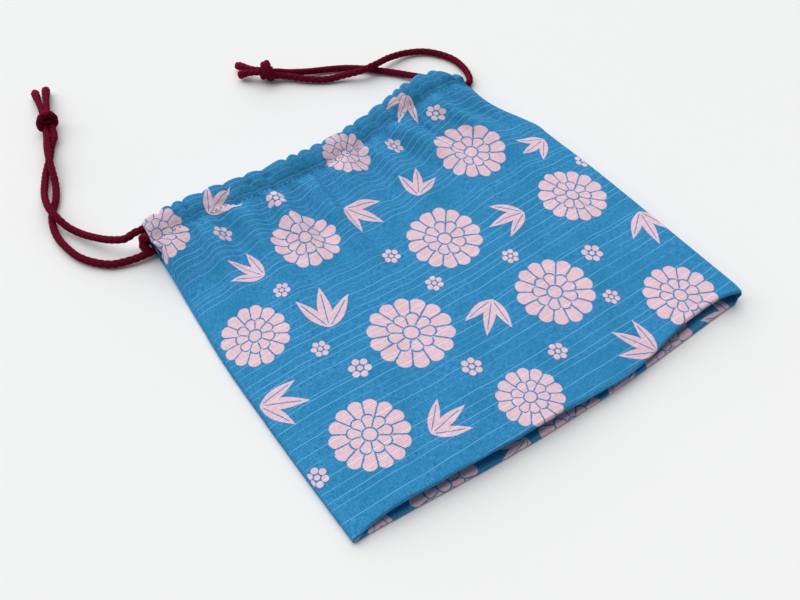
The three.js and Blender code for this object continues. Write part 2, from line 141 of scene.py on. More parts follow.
# Casings
CASING_RISE = 0.0029
CASING_HALF = 0.0059
CASING_TOP = 0.0023
FRONT_ROLL_INSET = 0.0005
BACK_ROLL_INSET = 0.0003
STITCH_MARGIN = 0.002
BACK_SETBACK = 0.002
BACK_CLEARANCE = 0.00005
BACK_HEM = 0.004
MOUTH_GAP = 0.0052
MOUTH_GAP_END = 0.0012
RIGHT_LIFT = 0.006
LIFT_SPAN = (0.2, 1.0)

# Hemmed ends of the casings; the right one is cut open below and hangs down past a ridge
HEM_ROLL = 0.0006
HEM_BACK = 0.004
HEM_FADE = 0.028
OPEN_END = 0.014
OPEN_SPAN = (0.8, 1.0)
OPEN_ANGLES = (-60, 20)
END_REACH = 0.003
END_REACH_FADE = 0.012
END_ROUND = 0.002
END_ROUND_SPAN = (0.955, 1.0)
END_SLOPE = 0.6
RIDGE_PLACE = 0.875
RIDGE_SLANT = 0.09
RIDGE_HOOK = 0.045
RIDGE_ROUND = 0.0009
UNDER_DROP = 0.7
HANG_LENGTH = 0.02
HANG_FADE = 0.012

# Stitches along the front casing
STITCH_PITCH = 0.0025
STITCH_LENGTH = 0.0018
STITCH_RADIUS = 0.00015
STITCH_START = 0.001
STITCH_RAISE = 0.00012
STITCH_DIP = 0.00025
STITCH_SPAN = 0.985
STITCH_RINGS = 7
STITCH_SIDES = 8
STITCH_LINE_POINTS = 4000

# Drawcords
CORD_DIAMETER = 0.0036
CORD_OFFSET = 0.003
CORD_SETTLE = 0.0008
RUN_OUT = 0.0015
RUN_POINTS = 18
EARLY_EXIT = 3
STRAND_OVERLAP = 4
STRAND_SQUEEZE = 0.0008
FLOOR_CLEARANCE = 0.00002

# Knots; a wrap is its place along the knot, its lean and its radius, with angles as shares of a turn
KNOT_DIAMETER = 0.011
KNOT_LENGTH = 0.011
KNOT_OFFSET = 0.00195
STRAND_ENTRY = 0.0034
ENTRY_PINCH = 0.86
ENTRY_RUN = 1.4 * CORD_DIAMETER
INTO_KNOT = 0.003
KNOT_WRAPS = [(-0.0011, 0.34, 0.0039), (0.0014, 0.16, 0.0031)]
WRAP_REACH = 0.62
WRAP_TUCK_FROM = 0.46
WRAP_TUCK = 0.75
WRAP_DRIFT = 0.0011
WRAP_START = 0.9
LEAN_START = 0.6
WRAP_RADIUS = 0.95 * CORD_DIAMETER / 2
WRAP_POINTS = 60

# Cut ends of the cords, with spans as shares of their length
TAIL_SHIFTS = (-0.0013, 0.0009)
TAIL_LIFT = 0.0003
TAIL_BEND_ON = 0.001
TAIL_BEND_UP = 0.0004
TAIL_GIRTH = 0.92
FRAY_SWELL = 0.32
FRAY_SPAN = (0.55, 0.93)
TIP_CAP = 0.035
TIP_LEAST = 0.05
TIP_SPAN = (0.8, 0.98)
TIP_SMOOTHING = 0.7

# Braid of the cords: two sets of strands wound opposite ways, each passing over and under the other
BRAID_STRANDS = 4
BRAID_PITCH = 0.0125
BRAID_RELIEF = 0.00034
BRAID_HALF = 0.42
BRAID_CREST = 1.15
BRAID_SINK = 0.6
BRAID_PASS = 0.45
BRAID_LIMITS = (-0.7, 1.0)

# Free stretches of cord: X and Y from the front casing's end, Z above the table
LEFT_FRONT_STRAND = [
    (-0.008, 0.0035, 0.0085), (-0.0131, 0.0085, 0.0067), (-0.0173, 0.0156, 0.0047),
    (-0.0213, 0.0239, 0.0031), (-0.0244, 0.031, 0.0035), (-0.0262, 0.0376, 0.0053),
    (-0.0267, 0.0436, 0.0059), (-0.0251, 0.0528, 0.0049), (-0.0211, 0.0636, 0.0027),
    (-0.0165, 0.0726, 0.0019), (-0.0114, 0.0804, 0.0019), (-0.006, 0.0876, 0.0029),
]
LEFT_BACK_STRAND = [
    (-0.0078, -0.0042, 0.0024), (-0.0134, -0.0026, 0.002), (-0.0181, -0.0006, 0.0019),
    (-0.0231, 0.0042, 0.0019), (-0.0275, 0.0111, 0.0019), (-0.0297, 0.0197, 0.0019),
    (-0.0303, 0.0287, 0.0019), (-0.0287, 0.0376, 0.0019), (-0.0257, 0.0448, 0.0019),
    (-0.0209, 0.0518, 0.0019), (-0.0169, 0.0606, 0.0025), (-0.0149, 0.0675, 0.0043),
    (-0.0129, 0.0751, 0.0059), (-0.0103, 0.086, 0.0054),
]
LEFT_KNOT = {
    "place": (-0.0018, 0.1034),
    "heading": (0.28, 0.96),
    "tails": [(0.0034, 0.1323), (0.0091, 0.1315)],
}
RIGHT_FRONT_STRAND = [
    (-0.0096, -0.003, 0.0167), (-0.0052, -0.0024, 0.0144), (-0.0022, 0.0002, 0.0116),
    (-0.0009, 0.0046, 0.0092), (-0.0013, 0.009, 0.0074), (-0.0025, 0.013, 0.006),
    (-0.0039, 0.017, 0.0047), (-0.006, 0.0226, 0.0032), (-0.0094, 0.0288, 0.0022),
    (-0.014, 0.035, 0.0019), (-0.0194, 0.0408, 0.0019), (-0.0246, 0.0464, 0.0019),
    (-0.032, 0.0522, 0.0019), (-0.0402, 0.0567, 0.0019), (-0.0485, 0.0611, 0.0022),
]
RIGHT_BACK_STRAND = [
    (0.009, 0.0034, 0.0024), (0.0139, 0.0052, 0.0022), (0.0171, 0.0106, 0.002),
    (0.0187, 0.017, 0.0019), (0.0189, 0.0238, 0.0019), (0.0166, 0.0312, 0.0019),
    (0.0108, 0.0393, 0.0019), (0.0023, 0.0437, 0.0022), (-0.0093, 0.0438, 0.004),
    (-0.0213, 0.0411, 0.0059), (-0.0296, 0.0422, 0.005), (-0.036, 0.0461, 0.003),
    (-0.0448, 0.0497, 0.002), (-0.0529, 0.0542, 0.0022),
]
RIGHT_KNOT = {
    "place": (-0.0686, 0.0699),
    "heading": (-0.84, 0.54),
    "tails": [(-0.0803, 0.0788), (-0.0771, 0.0868)],
}

# Turn of each cord at its far end: outward, along Y, and share of the way down to the back run
LEFT_CORD_TURN = [
    (0.002, 0.0, 0.12), (0.0042, -0.0015, 0.42), (0.0042, -0.004, 0.72), (0.002, -0.0055, 0.93),
]
RIGHT_CORD_TURN = [
    (0.0014, 0.002, 0.06), (0.0019, 0.0016, 0.3), (0.0019, -0.0004, 0.62), (0.0012, -0.0016, 0.9),
]
# Each cord: side of its knot, knot, strands, turn, and how many end points of a run the turn stands in for
LEFT_CORD = (-1, LEFT_KNOT, LEFT_FRONT_STRAND, LEFT_BACK_STRAND, LEFT_CORD_TURN, 2)
RIGHT_CORD = (1, RIGHT_KNOT, RIGHT_FRONT_STRAND, RIGHT_BACK_STRAND, RIGHT_CORD_TURN, 1)

# Print in the flat cloth: across, down from the mouth edge, radius, turn in degrees
ROSETTES = [
    (-0.072, 0.150, 0.0160, 8), (-0.030, 0.118, 0.0185, 20), (0.014, 0.084, 0.0175, 3),
    (0.058, 0.052, 0.0170, 14), (-0.085, 0.084, 0.0150, 30), (-0.040, 0.050, 0.0160, 11),
    (-0.010, 0.171, 0.0140, 25), (0.034, 0.136, 0.0175, 6), (0.079, 0.100, 0.0160, 19),
    (0.077, 0.168, 0.0160, 1), (0.008, 0.016, 0.0130, 9), (-0.097, 0.014, 0.0140, 5),
    (-0.060, 0.238, 0.0150, 12), (0.000, 0.243, 0.0160, 2), (0.058, 0.237, 0.0150, 23),
]
SPRAYS = [
    (-0.053, 0.087, 0.0125, 200), (-0.008, 0.051, 0.0115, 330), (0.044, 0.093, 0.0105, 100),
    (0.002, 0.130, 0.0110, 45), (-0.043, 0.161, 0.0105, 260), (0.044, 0.174, 0.0110, 150),
    (0.094, 0.134, 0.0110, 20), (0.025, 0.050, 0.0100, 215), (0.086, 0.066, 0.0095, 80),
    (-0.072, 0.051, 0.0100, 140), (-0.091, 0.119, 0.0110, 300), (-0.030, 0.241, 0.0110, 70),
    (0.030, 0.241, 0.0110, 250), (0.088, 0.241, 0.0105, 110), (-0.092, 0.241, 0.0105, 20),
    (-0.062, 0.012, 0.0105, 240), (0.055, 0.014, 0.0105, 60),
]
DOT_RINGS = [
    (-0.058, 0.122, 0.0050, 0), (-0.006, 0.102, 0.0043, 20), (0.031, 0.110, 0.0042, 40),
    (0.062, 0.130, 0.0050, 10), (-0.020, 0.146, 0.0048, 30), (0.014, 0.160, 0.0045, 50),
    (0.068, 0.026, 0.0050, 5), (-0.040, 0.024, 0.0052, 15), (-0.072, 0.029, 0.0046, 35),
    (0.034, 0.026, 0.0048, 25), (-0.066, 0.105, 0.0042, 45), (-0.098, 0.154, 0.0046, 12),
    (0.100, 0.086, 0.0044, 33), (-0.012, 0.078, 0.0044, 8), (0.052, 0.152, 0.0040, 18),
    (-0.064, 0.070, 0.0040, 3),
]
FLAT_REACH = 0.446
CASING_FLAT = 0.016
FRONT_PRINT = 0.19
MOTIF_RIM = 0.0009
MOTIF_PART = 0.0026
NO_MOTIF = 9.0
GRAIN_RISE = 0.012
GRAIN_SPAN = (0.0, 0.25)
RIGHT_GRAIN = 0.4
END_FLAT_STEP = 0.0008

# Motifs in shares of their radius: petals are a count, their root, their end and a turn
OUTER_PETALS = (14, 0.80, 1.0, 0.0)
INNER_PETALS = (9, 0.40, 0.56, 0.3)
HEART = 0.19
PETAL_LINE = 0.021
SHORT_LINE = 0.020
RING_LINE = 0.022
LINE_SOFT = 0.010
LEAF_FOOT = 0.92
LEAF_CURVE = 0.8
VEIN_HALF = 0.02
MIDDLE_LEAF = (1.85, 0.25)
SIDE_LEAF = (1.6, 0.23)
LEAF_SPREAD = 0.62
DOT_COUNT = 6
DOT_PLACE = 0.66
DOT_RADIUS = 0.30
MIDDLE_DOT = 0.24
DOT_SOFT = 0.03

# Threads of the cloth, millimetres: pitch of the weave, unevenness along and across a thread
MILLIMETRES = 1000.0
WEAVE_PITCH = 0.86
THREAD_ALONG = 0.4
THREAD_ACROSS = 2.6
# Slub threads: per millimetre at the bottom fold, growth of that toward the mouth, half width
SLUB_RATE = 0.18
SLUB_CROWDING = 0.0005
SLUB_START = 109.0
SLUB_DRIFT = 0.06
SLUB_RANDOM = 0.9
SLUB_HALF = (0.13, 0.29)

# Colours, sRGB
DEEP_BLUE = (33, 126, 182)
LIGHT_BLUE = (77, 164, 218)
CLOUD_BLUE = (38, 136, 178)
SLUB_BLUE = (116, 188, 244)
DEEP_PINK = (242, 196, 210)
LIGHT_PINK = (252, 220, 231)
SLUB_PINK = (254, 238, 243)
# Cord colours for the braid's valleys and crests: painted shade and painted highlight
SHADED_CORD_VALLEY = (36, 3, 13)
LIT_CORD_CREST = (108, 17, 43)
FIBRE_CORD = (122, 20, 50)
TIP_CORD = (150, 2, 44)
DEEP_THREAD = (36, 84, 136)
LIGHT_THREAD = (58, 112, 168)
DEEP_FLOOR = (240, 241, 242)
LIGHT_FLOOR = (245, 246, 246)
# Linear colours
WEAVE_SHADE = (0.02, 0.06, 0.10, 1.0)
# Black mixed into the casings as painted shade
SHADE_BLACK = (0.0, 0.0, 0.0, 1.0)

# Camera, fitted to the photograph, and studio light; angles in degrees
CAMERA_AZIMUTH = -35.58
CAMERA_ELEVATION = 48.44
CAMERA_DISTANCE = 0.4768
CAMERA_TARGET = Vector((-0.01805, -0.00493, 0))
FOCAL_LENGTH = 50
SENSOR_WIDTH = 36
CLIP = (0.01, 20)
WINDOW_AZIMUTH = 180
WINDOW_ELEVATION = 45
WINDOW_SPREAD = 100
WINDOW_STRENGTH = 3.68
WINDOW_COLOUR = (1.0, 0.995, 0.985)
SKY = 0.165
SKY_COLOUR = (0.97, 0.985, 1.0, 1.0)
BACKDROP = 0.88
TABLE_SIZE = 6
TABLE_DROP = 0.0001

FRONT_COLUMNS = 301
BACK_COLUMNS = 221
END_COLUMNS = 6
PANEL_ROWS = 205
BACK_TUCK_ROWS = 40
BACK_PANEL_ROWS = 70
UNDER_ROWS = 4
TOP_ROWS = 26
BACK_TOP_ROWS = 5
# First and last angle and count of the rows round each bend
FRONT_HEM_BEND = (205, 270, 6)
FRONT_ROLL_BEND = (-78, 90, 15)
FRONT_FOLD_BEND = (20, 180, 9)
BACK_FOLD_BEND = (20, 160, 7)
BACK_ROLL_BEND = (-75, 90, 12)
BACK_HEM_BEND = (105, 160, 5)
# First and last share and count of the rows along each stretch
FRONT_TUCK_STEPS = (0.08, 1, 14)
BACK_UNDER_STEPS = (0.12, 1, 8)
SPAN_POINTS = 24
STRAND_MESH = (0.00035, 32)
RUN_MESH = (0.0006, 24)
WRAP_MESH = (0.0004, 28)
TAIL_MESH = (0.0003, 28)
TAIL_SPAN_POINTS = 20
TINY = 1e-9
UP = np.array([0.0, 0.0, 1.0])


def smooth(x, low, high):
    t = np.clip((x - low) / (high - low), 0, 1)
    return t * t * (3 - 2 * t)


def lerp(a, b, t):
    return a + (b - a) * t


def bell(x, middle, width):
    """1 at the middle, 0 away from it."""
    return np.exp(-(((x - middle) / width) ** 2))


def swell(below, reach):
    """Rises from 0 to 1 at the given reach and dies away beyond it."""
    share = below / reach
    return share * np.exp(1 - share)


def shares(count):
    """Even steps up to 1, without 0."""
    return np.arange(1, count + 1) / count


def bend(first, last, count):
    """Angles of the rows round a bend, from degrees."""
    return np.radians(np.linspace(first, last, count))


def waves(u, terms):
    return sum(size * np.sin(rate * u + start) for size, rate, start in terms)


def uneven(u, base, swing, seed):
    wobble = waves(u, [(size, rate, start * seed) for size, rate, start in WOBBLE])
    return base + swing * wobble / WOBBLE_TOTAL


# Shape of the cloth; u runs from -1 at the left edge to 1 at the right edge
def inner_share(u, hold=EDGE_HOLD):
    """1 across the cloth, 0 at its side edges."""
    return 1 - np.abs(u) ** hold


def side_edge(y, u, gather):
    rise = np.clip((y + HALF_LENGTH) / LENGTH, 0, 1)
    left = HALF_WIDTH - (HALF_WIDTH - LEFT_MOUTH + gather) * rise**LEFT_TAPER
    right = HALF_WIDTH - (HALF_WIDTH - RIGHT_MOUTH + gather) * smooth(y, *RIGHT_NECK)
    return np.where(u < 0, left, right)


def bottom_edge(u):
    return -HALF_LENGTH + BOTTOM_BOW * u**2


def front_edge(u):
    """Bottom edge of the front, which stands back from the plain one and droops right of its middle."""
    setback = FRONT_SETBACK + SETBACK_WAVE * np.maximum(u, 0) ** 2
    return bottom_edge(u) + setback * inner_share(u) - DROOP_OUT * bell(u, *DROOP_BELL)


def mouth_edge(u):
    off = np.clip((u - SAG_MIDDLE) / SAG_SPAN, -1, 1)
    sag = MOUTH_SAG * np.cos(np.pi * off / 2) ** 2
    return HALF_LENGTH - PUCKER_DEPTH - MOUTH_SKEW * (1 - u) / 2 - sag


def front_tunnel(u):
    """Y and Z of the middle of the front casing, which gapes from the back one and lifts at the right."""
    gap = MOUTH_GAP_END + (MOUTH_GAP - MOUTH_GAP_END) * inner_share(u, GAPE_HOLD)
    lift = RIGHT_LIFT * smooth(u, *LIFT_SPAN)
    return mouth_edge(u) - CASING_HALF, 2 * CASING_RISE + gap + lift + CASING_RISE


def back_tunnel(u):
    """Y and Z of the middle of the back casing, which lies on the table."""
    return mouth_edge(u) - CASING_HALF - BACK_SETBACK * (1 - u) / 2, CASING_RISE + 0 * u


def stitch_below(tunnel_y):
    return tunnel_y - CASING_HALF - STITCH_MARGIN


def front_stitch(u):
    return stitch_below(front_tunnel(u)[0])


def front_z(u, y):
    """Height of the front with its swell and folds, without the finer creases."""
    tunnel_y, tunnel_z = front_tunnel(u)
    stitch = stitch_below(tunnel_y)
    below = np.maximum(stitch - y, 0)
    rise = 1 - below / (stitch - front_edge(u))
    bottom = SEAM_HEIGHT + TUCK_GAP
    top = tunnel_z + CLOTH
    crown = bottom + (top - bottom) * rise**2 + 4 * FRONT_PUFF * rise * (1 - rise)
    low_lift = lerp(CORNER_LIFT, 1.0, smooth(rise, 0.0, 0.5))
    roll = RIGHT_ROLL * np.maximum(u, 0) * np.where(rise > 0.5, np.sin(np.pi * rise), low_lift)
    edge = top + (SEAM_HEIGHT + roll - top) * smooth(below, 0, SIDE_RISE)
    fold = np.sin(np.pi * FOLD_COUNT * u + waves(u, FOLD_WANDER))
    folds = FOLD_DEPTH * swell(below, FOLD_REACH) * fold
    return edge + (crown - edge + folds) * inner_share(u, SIDE_ROUNDING)


def edge_shift(u, y):
    """How far the sewn edge lies outside the plain one: in at the upper left, out at the right shoulder."""
    out = NECK_FILL * (u > 0) * bell(y, *NECK_BELL)
    return out - LEFT_TUCK * (u < 0) * smooth(y, *LEFT_TUCK_SPAN)


def corner_share(u, y):
    """1 at the rounded bottom corner on the right, 0 away from it."""
    return (u > 0) * (1 - smooth(y, *CORNER_SPAN)) ** 2


def gather_phase(u):
    """Uneven puckers, some wide and some narrow."""
    return np.pi * PUCKER_COUNT * u + waves(u, GATHER_WANDER)


def ridge(phase, sharp):
    """Rounded crests with narrow valleys between them, from 0 to 1."""
    return np.abs(np.cos(phase / 2)) ** sharp


def small_ridge(u, phase):
    """Two small crests in each pucker."""
    return ridge(2 * phase + waves(u, SMALL_WANDER), 0.8)


def crease(phase):
    """1 in the narrow valleys between the puckers, 0 away from them."""
    return bell(np.cos(phase / 2), 0, CREASE_WIDTH)


def casing_puff(u, t):
    """Puckers of the casing, t from 0 at the mouth edge to 1 at the stitches."""
    phase = gather_phase(u + PUFF_SHEAR * t * np.sin(9 * u + 1))
    deep = CREASE_DEPTH * uneven(u, *CASING_CREASES) * smooth(t, *CREASE_SPAN)
    wide = ridge(phase, 0.75)
    size = uneven(u, *PUFF_SHARE) + PUFF_GROWTH * smooth(u, *GROWTH_SPAN)
    crest = lerp(wide, 0.5 * wide + 0.3 * small_ridge(u, phase), t)
    return PUFF_HEIGHT * size * crest - deep * crease(phase)


def end_drop(u, t):
    """How far the casing's right end hangs past its ridge, which lies further in at the mouth edge."""
    ridge_at = RIDGE_PLACE + RIDGE_SLANT * t - RIDGE_HOOK * smooth(t, 0.5, 1.0)
    past = (u - ridge_at) * HALF_WIDTH
    return END_SLOPE * RIDGE_ROUND * np.logaddexp(0, past / RIDGE_ROUND)


def panel_detail(u, y):
    """Finer creases of the front below the stitches, on top of its swell and folds."""
    below = np.maximum(front_stitch(u) - y, 0)
    phase = gather_phase(u)
    near = SMALL_CREASE * np.exp(-below / SMALL_REACH) * small_ridge(u, phase)
    for height, reach, pace, wander, slant, sharp, share in CREASE_LAYERS:
        crest = ridge(pace * phase + waves(u, wander) + slant * below, sharp)
        near += height * swell(below, reach) * crest * uneven(u, *share)
    near -= STITCH_PINCH * bell(below, 0, PINCH_REACH)
    near -= CREASE_DEPTH * uneven(u, *PANEL_CREASES) * crease(phase) * np.exp(-below / CREASE_REACH)
    near -= PANEL_SAG * (1 - np.exp(-below / PANEL_SAG_RISE)) * np.exp(-below / PANEL_SAG_FADE)
    near += CROSSED_WAVE * np.sin(31 * u + 40 * y) * np.sin(60 * y + 5 * u)
    near += SLANTED_WAVE * np.sin(17 * u - 90 * y + 1)
    full = NECK_RISE * smooth(u, *NECK_RISE_SPAN) * bell(y, *NECK_BELL)
    above = np.maximum(y - front_edge(u), 0)
    hang = DROOP_DOWN * bell(u, *DROOP_BELL) * np.exp(-above / DROOP_REACH)
    drop = end_drop(u, 1 + below / HANG_LENGTH) * np.exp(-below / HANG_FADE)
    return near * inner_share(u) + full - hang - drop


# Rows of cloth across the pouch, each (y, z, hem, cut)
def front_rows(u):
    """Front, from the inner side of its casing over the mouth to the fold of the gusset.

    The hem is 1 where a row's ends are hemmed and 0 where they are sewn into the side seams, the cut is how
    far its right end is cut back. Also gives the mouth's row and the panel's first and last row.
    """
    tunnel_y, tunnel_z = front_tunnel(u)
    stitch = stitch_below(tunnel_y)
    inner_y, outer_y = tunnel_y - CORD_OFFSET, tunnel_y + CORD_OFFSET
    rows = [(stitch, tunnel_z - CLOTH - end_drop(u, 1), 1, OPEN_END)]
    for a in bend(*FRONT_HEM_BEND):
        z = tunnel_z + CASING_RISE * np.sin(a) - end_drop(u, UNDER_DROP)
        rows.append((inner_y + CASING_RISE * np.cos(a), z, 1, OPEN_END))
    for t in shares(UNDER_ROWS):
        z = tunnel_z - CASING_RISE - end_drop(u, UNDER_DROP * (1 - t))
        rows.append((lerp(inner_y, outer_y, t), z, 1, OPEN_END))

    puff = casing_puff(u, 0)
    radius = CASING_RISE - FRONT_ROLL_INSET
    reach = radius + puff - END_ROUND * smooth(np.abs(u), *END_ROUND_SPAN) ** 2
    angles = bend(*FRONT_ROLL_BEND)
    mouth_row = len(rows) + len(angles) // 2
    for a in angles:
        high = CASING_TOP if a > 0 else radius
        z = tunnel_z + high * np.sin(a) + puff * max(np.sin(a), 0) - end_drop(u, 0)
        cut = OPEN_END * (1 - smooth(np.degrees(a), *OPEN_ANGLES))
        rows.append((outer_y + reach * np.cos(a), z, 1, cut))

    high = tunnel_z + CASING_TOP
    low = front_z(u, stitch)
    seat = panel_detail(u, stitch) + end_drop(u, 1)
    for t in shares(TOP_ROWS):
        z = lerp(high, low, smooth(t, 0.2, 1.0)) + casing_puff(u, t) * (1 - smooth(t, 0.6, 1.0))
        z = np.maximum(z, tunnel_z + CREASE_FLOOR * (1 - smooth(t, 0.6, 0.95)))
        z = z + seat * smooth(t, 0.75, 1.0) - end_drop(u, t)
        rows.append((lerp(outer_y, stitch, t), z, 1, -END_REACH))

    panel_start = len(rows) - 1
    lip = np.minimum(FRONT_FOLD, FRONT_FOLD_SHARE * front_z(u, front_edge(u)))
    fold_y = front_edge(u) + lip
    for t in shares(PANEL_ROWS):
        y = lerp(stitch, fold_y, t)
        z = front_z(u, y) + panel_detail(u, y)
        rows.append((y, z, 1 - smooth(t, 0.0, HEM_FADE), -END_REACH * bell(stitch - y, 0, END_REACH_FADE)))
    panel = (panel_start, len(rows) - 1)

    top = front_z(u, fold_y) + panel_detail(u, fold_y)
    for a in bend(*FRONT_FOLD_BEND):
        rows.append((fold_y - lip * np.sin(a), top - lip + lip * np.cos(a), 0, 0.0))
    tuck_y = bottom_edge(u) + TUCK_DEPTH
    deep = front_z(u, tuck_y) / 2 + TUCK_HALF
    for t in np.linspace(*FRONT_TUCK_STEPS):
        z = lerp(top - 2 * lip, deep, t**FRONT_TUCK_CURVE)
        rows.append((lerp(fold_y, tuck_y, t), z, 0, 0.0))
    return rows, mouth_row, panel


def back_rows(u):
    """Back, from the fold of the gusset round the bottom edge and along the table to its casing."""
    tunnel_y, tunnel_z = back_tunnel(u)
    stitch = stitch_below(tunnel_y)
    inner_y, outer_y = tunnel_y - CORD_OFFSET, tunnel_y + CORD_OFFSET
    rows = []

    def add(y, z, hem):
        rows.append((y, z + 0 * u, hem, 0.0))

    tuck_y = bottom_edge(u) + TUCK_DEPTH
    fold_y = bottom_edge(u) + LIP_INSET * inner_share(u, LIP_HOLD) + BACK_FOLD
    deep = front_z(u, tuck_y) / 2 - TUCK_HALF
    low = 2 * (BACK_FOLD + BACK_FOLD_LIFT)
    for t in np.linspace(0, 1, BACK_TUCK_ROWS):
        ripple = TUCK_RIPPLE * np.sin(14 * u + 3 * t) * t * inner_share(u)
        add(lerp(tuck_y, fold_y, t), lerp(deep, low, 1 - (1 - t) ** BACK_TUCK_CURVE) + ripple, 0)
    for a in bend(*BACK_FOLD_BEND):
        add(fold_y - BACK_FOLD * np.sin(a), BACK_FOLD + BACK_FOLD_LIFT + BACK_FOLD * np.cos(a), 0)
    for t in np.linspace(0, 1, BACK_PANEL_ROWS):
        add(lerp(fold_y, stitch, t), BACK_CLEARANCE, smooth(t, 0.95, 1.0))
    for t in np.linspace(*BACK_UNDER_STEPS):
        add(lerp(stitch, outer_y, t), BACK_CLEARANCE, 1)
    reach = CASING_RISE - BACK_ROLL_INSET + casing_puff(u + 0.03, 0)
    for a in bend(*BACK_ROLL_BEND):
        add(outer_y + reach * np.cos(a), tunnel_z + (CASING_RISE - BACK_CLEARANCE) * np.sin(a), 1)
    for t in shares(BACK_TOP_ROWS):
        add(lerp(outer_y, inner_y, t), tunnel_z + CASING_RISE, 1)
    for a in bend(*BACK_HEM_BEND):
        add(inner_y + CASING_RISE * np.cos(a), tunnel_z + CASING_RISE * np.sin(a), 1)
    add(stitch, 2 * CLOTH, 1)
    add(stitch - BACK_HEM, 1.3 * CLOTH, 1)
    return rows


# Mesh helpers
def link(name, mesh, material):
    made = bpy.data.objects.new(name, mesh)
    bpy.context.scene.collection.objects.link(made)
    mesh.materials.append(material)
    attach(made, "root")
    return made


def grid_faces(rows, columns, closed):
    across = np.arange(columns if closed else columns - 1)
    start = (np.arange(rows - 1) * columns)[:, None]
    a = start + across
    b = start + (across + 1) % columns
    return np.stack([a, b, b + columns, a + columns], -1).reshape(-1, 4)


def mesh_of(name, points, faces, values, uv=None):
    """Smooth mesh with a value or a vector for each point under each key, and a UV map of the cloth."""
    mesh = bpy.data.meshes.new(name)
    mesh.from_pydata(points.tolist(), [], faces)
    mesh.polygons.foreach_set("use_smooth", np.ones(len(mesh.polygons), bool))
    for key, value in values.items():
        value = np.ascontiguousarray(value, np.float32)
        made = mesh.attributes.new(key, "FLOAT" if value.ndim == 1 else "FLOAT_VECTOR", "POINT")
        made.data.foreach_set("value" if value.ndim == 1 else "vector", value.ravel())
    if uv is not None:
        layer = mesh.uv_layers.new(name="cloth")
        corner = np.zeros(len(mesh.loops), np.int32)
        mesh.loops.foreach_get("vertex_index", corner)
        layer.data.foreach_set("uv", uv[corner].astype(np.float32).ravel())
    mesh.update()
    return mesh


# Print and grain of the flat cloth
def motifs():
    """All motifs with their kind; the back of the pouch has the front's, turned half round."""
    lists = (ROSETTES, SPRAYS, DOT_RINGS)
    front = [(*spot, kind) for kind, spots in enumerate(lists) for spot in spots]
    back = [
        (-u, FLAT_REACH - v, size, turn + 180, kind) for u, v, size, turn, kind in front if v < FRONT_PRINT
    ]
    return front + back


def print_fields(u, v):
    """Each point's place in its nearest motif, in that motif's radii, its kind, and 1 where it lies in it."""
    best = np.full(u.shape, 1.0)
    second = best.copy()
    local = np.full((len(u), 3), NO_MOTIF)
    for spot_u, spot_v, size, turn, kind in motifs():
        du, dv = u - spot_u, v - spot_v
        gap = np.hypot(du, dv) - size
        near = gap < best
        second = np.where(near, best, np.minimum(second, gap))
        best = np.where(near, gap, best)
        angle = math.radians(turn)
        local[near, 0] = (du[near] * math.cos(angle) + dv[near] * math.sin(angle)) / size
        local[near, 1] = (dv[near] * math.cos(angle) - du[near] * math.sin(angle)) / size
        local[near, 2] = kind
    return local, ((best < MOTIF_RIM) & (second - best > MOTIF_PART)).astype(float)


def grain_share(u, y):
    """Share of the way from the stitches to the bottom along the straight grain of the front."""
    stitch = front_stitch(u)
    share = (stitch - y) / (stitch - float(front_edge(np.float64(0))))
    sunk = GRAIN_RISE * np.abs(u) ** SIDE_ROUNDING * smooth(share, *GRAIN_SPAN)
    return share + sunk * np.where(u < 0, 1.0, RIGHT_GRAIN)


def flat_places(places, u, start, zero_row, panel):
    """Each point's place across and down the flat cloth, and each row's down it, start at the zero row."""
    out = END_FLAT_STEP * np.arange(1, END_COLUMNS + 1)
    flat_u = np.concatenate([-HALF_WIDTH - out[::-1], u * HALF_WIDTH, HALF_WIDTH + out])
    trim = END_COLUMNS + len(u) // 8
    steps = np.linalg.norm(np.diff(places[:, trim:-trim], axis=0), axis=2).mean(axis=1)
    flat_v = np.concatenate([[0], np.cumsum(steps)])
    flat_v = flat_v - flat_v[zero_row] + start
    grid_u = np.broadcast_to(flat_u[None, :], places.shape[:2])
    grid_v = np.repeat(flat_v[:, None], len(flat_u), axis=1)
    if panel is not None:
        first, last = panel
        spot_u = np.concatenate([np.full(END_COLUMNS, -1.0), u, np.full(END_COLUMNS, 1.0)])
        grain = grain_share(spot_u, places[first : last + 1, :, 1])
        grid_v[first : last + 1] = lerp(flat_v[first], flat_v[last], grain)
        grid_v[last + 1 :] += grid_v[last] - flat_v[last]
    return grid_u.ravel(), grid_v.ravel(), flat_v


# Cloth
def rolled_end(side, spot, half, hem, tunnel):
    """Points that carry a row on from its end: down into the side seam, or round the casing's hem."""
    at = np.float64(side)
    y = spot[1]
    groove = SEAM_SHARE * float(front_z(at, max(y, float(front_edge(at)))))
    tunnel_y, tunnel_z = (float(q) for q in tunnel(at))
    core = np.array([np.clip(y, tunnel_y - CORD_OFFSET, tunnel_y + CORD_OFFSET), tunnel_z])
    inward = core - spot[1:]
    inward /= max(np.linalg.norm(inward), TINY)
    meet = float(side_edge(y, side, 0) + edge_shift(side, y)) - SEAM_BACK * SEAM_ROLL
    meet -= SEAM_CORNER * float(corner_share(side, y))
    points = []
    for share in shares(END_COLUMNS):
        quarter, turn = share * math.pi / 2, share * math.pi
        rim = meet if share == 1 else half + SEAM_ROLL * math.sin(quarter)
        drop = (spot[2] - groove) * (1 - math.cos(quarter))
        seam = np.array([side * rim, y, spot[2] - drop])
        out = HEM_ROLL * math.sin(turn) - (HEM_BACK if share == 1 else 0)
        round_core = spot[1:] + inward * HEM_ROLL * (1 - math.cos(turn))
        hemmed = np.array([spot[0] + side * out, *round_core])
        points.append(seam * (1 - hem) + hemmed * hem)
    return points


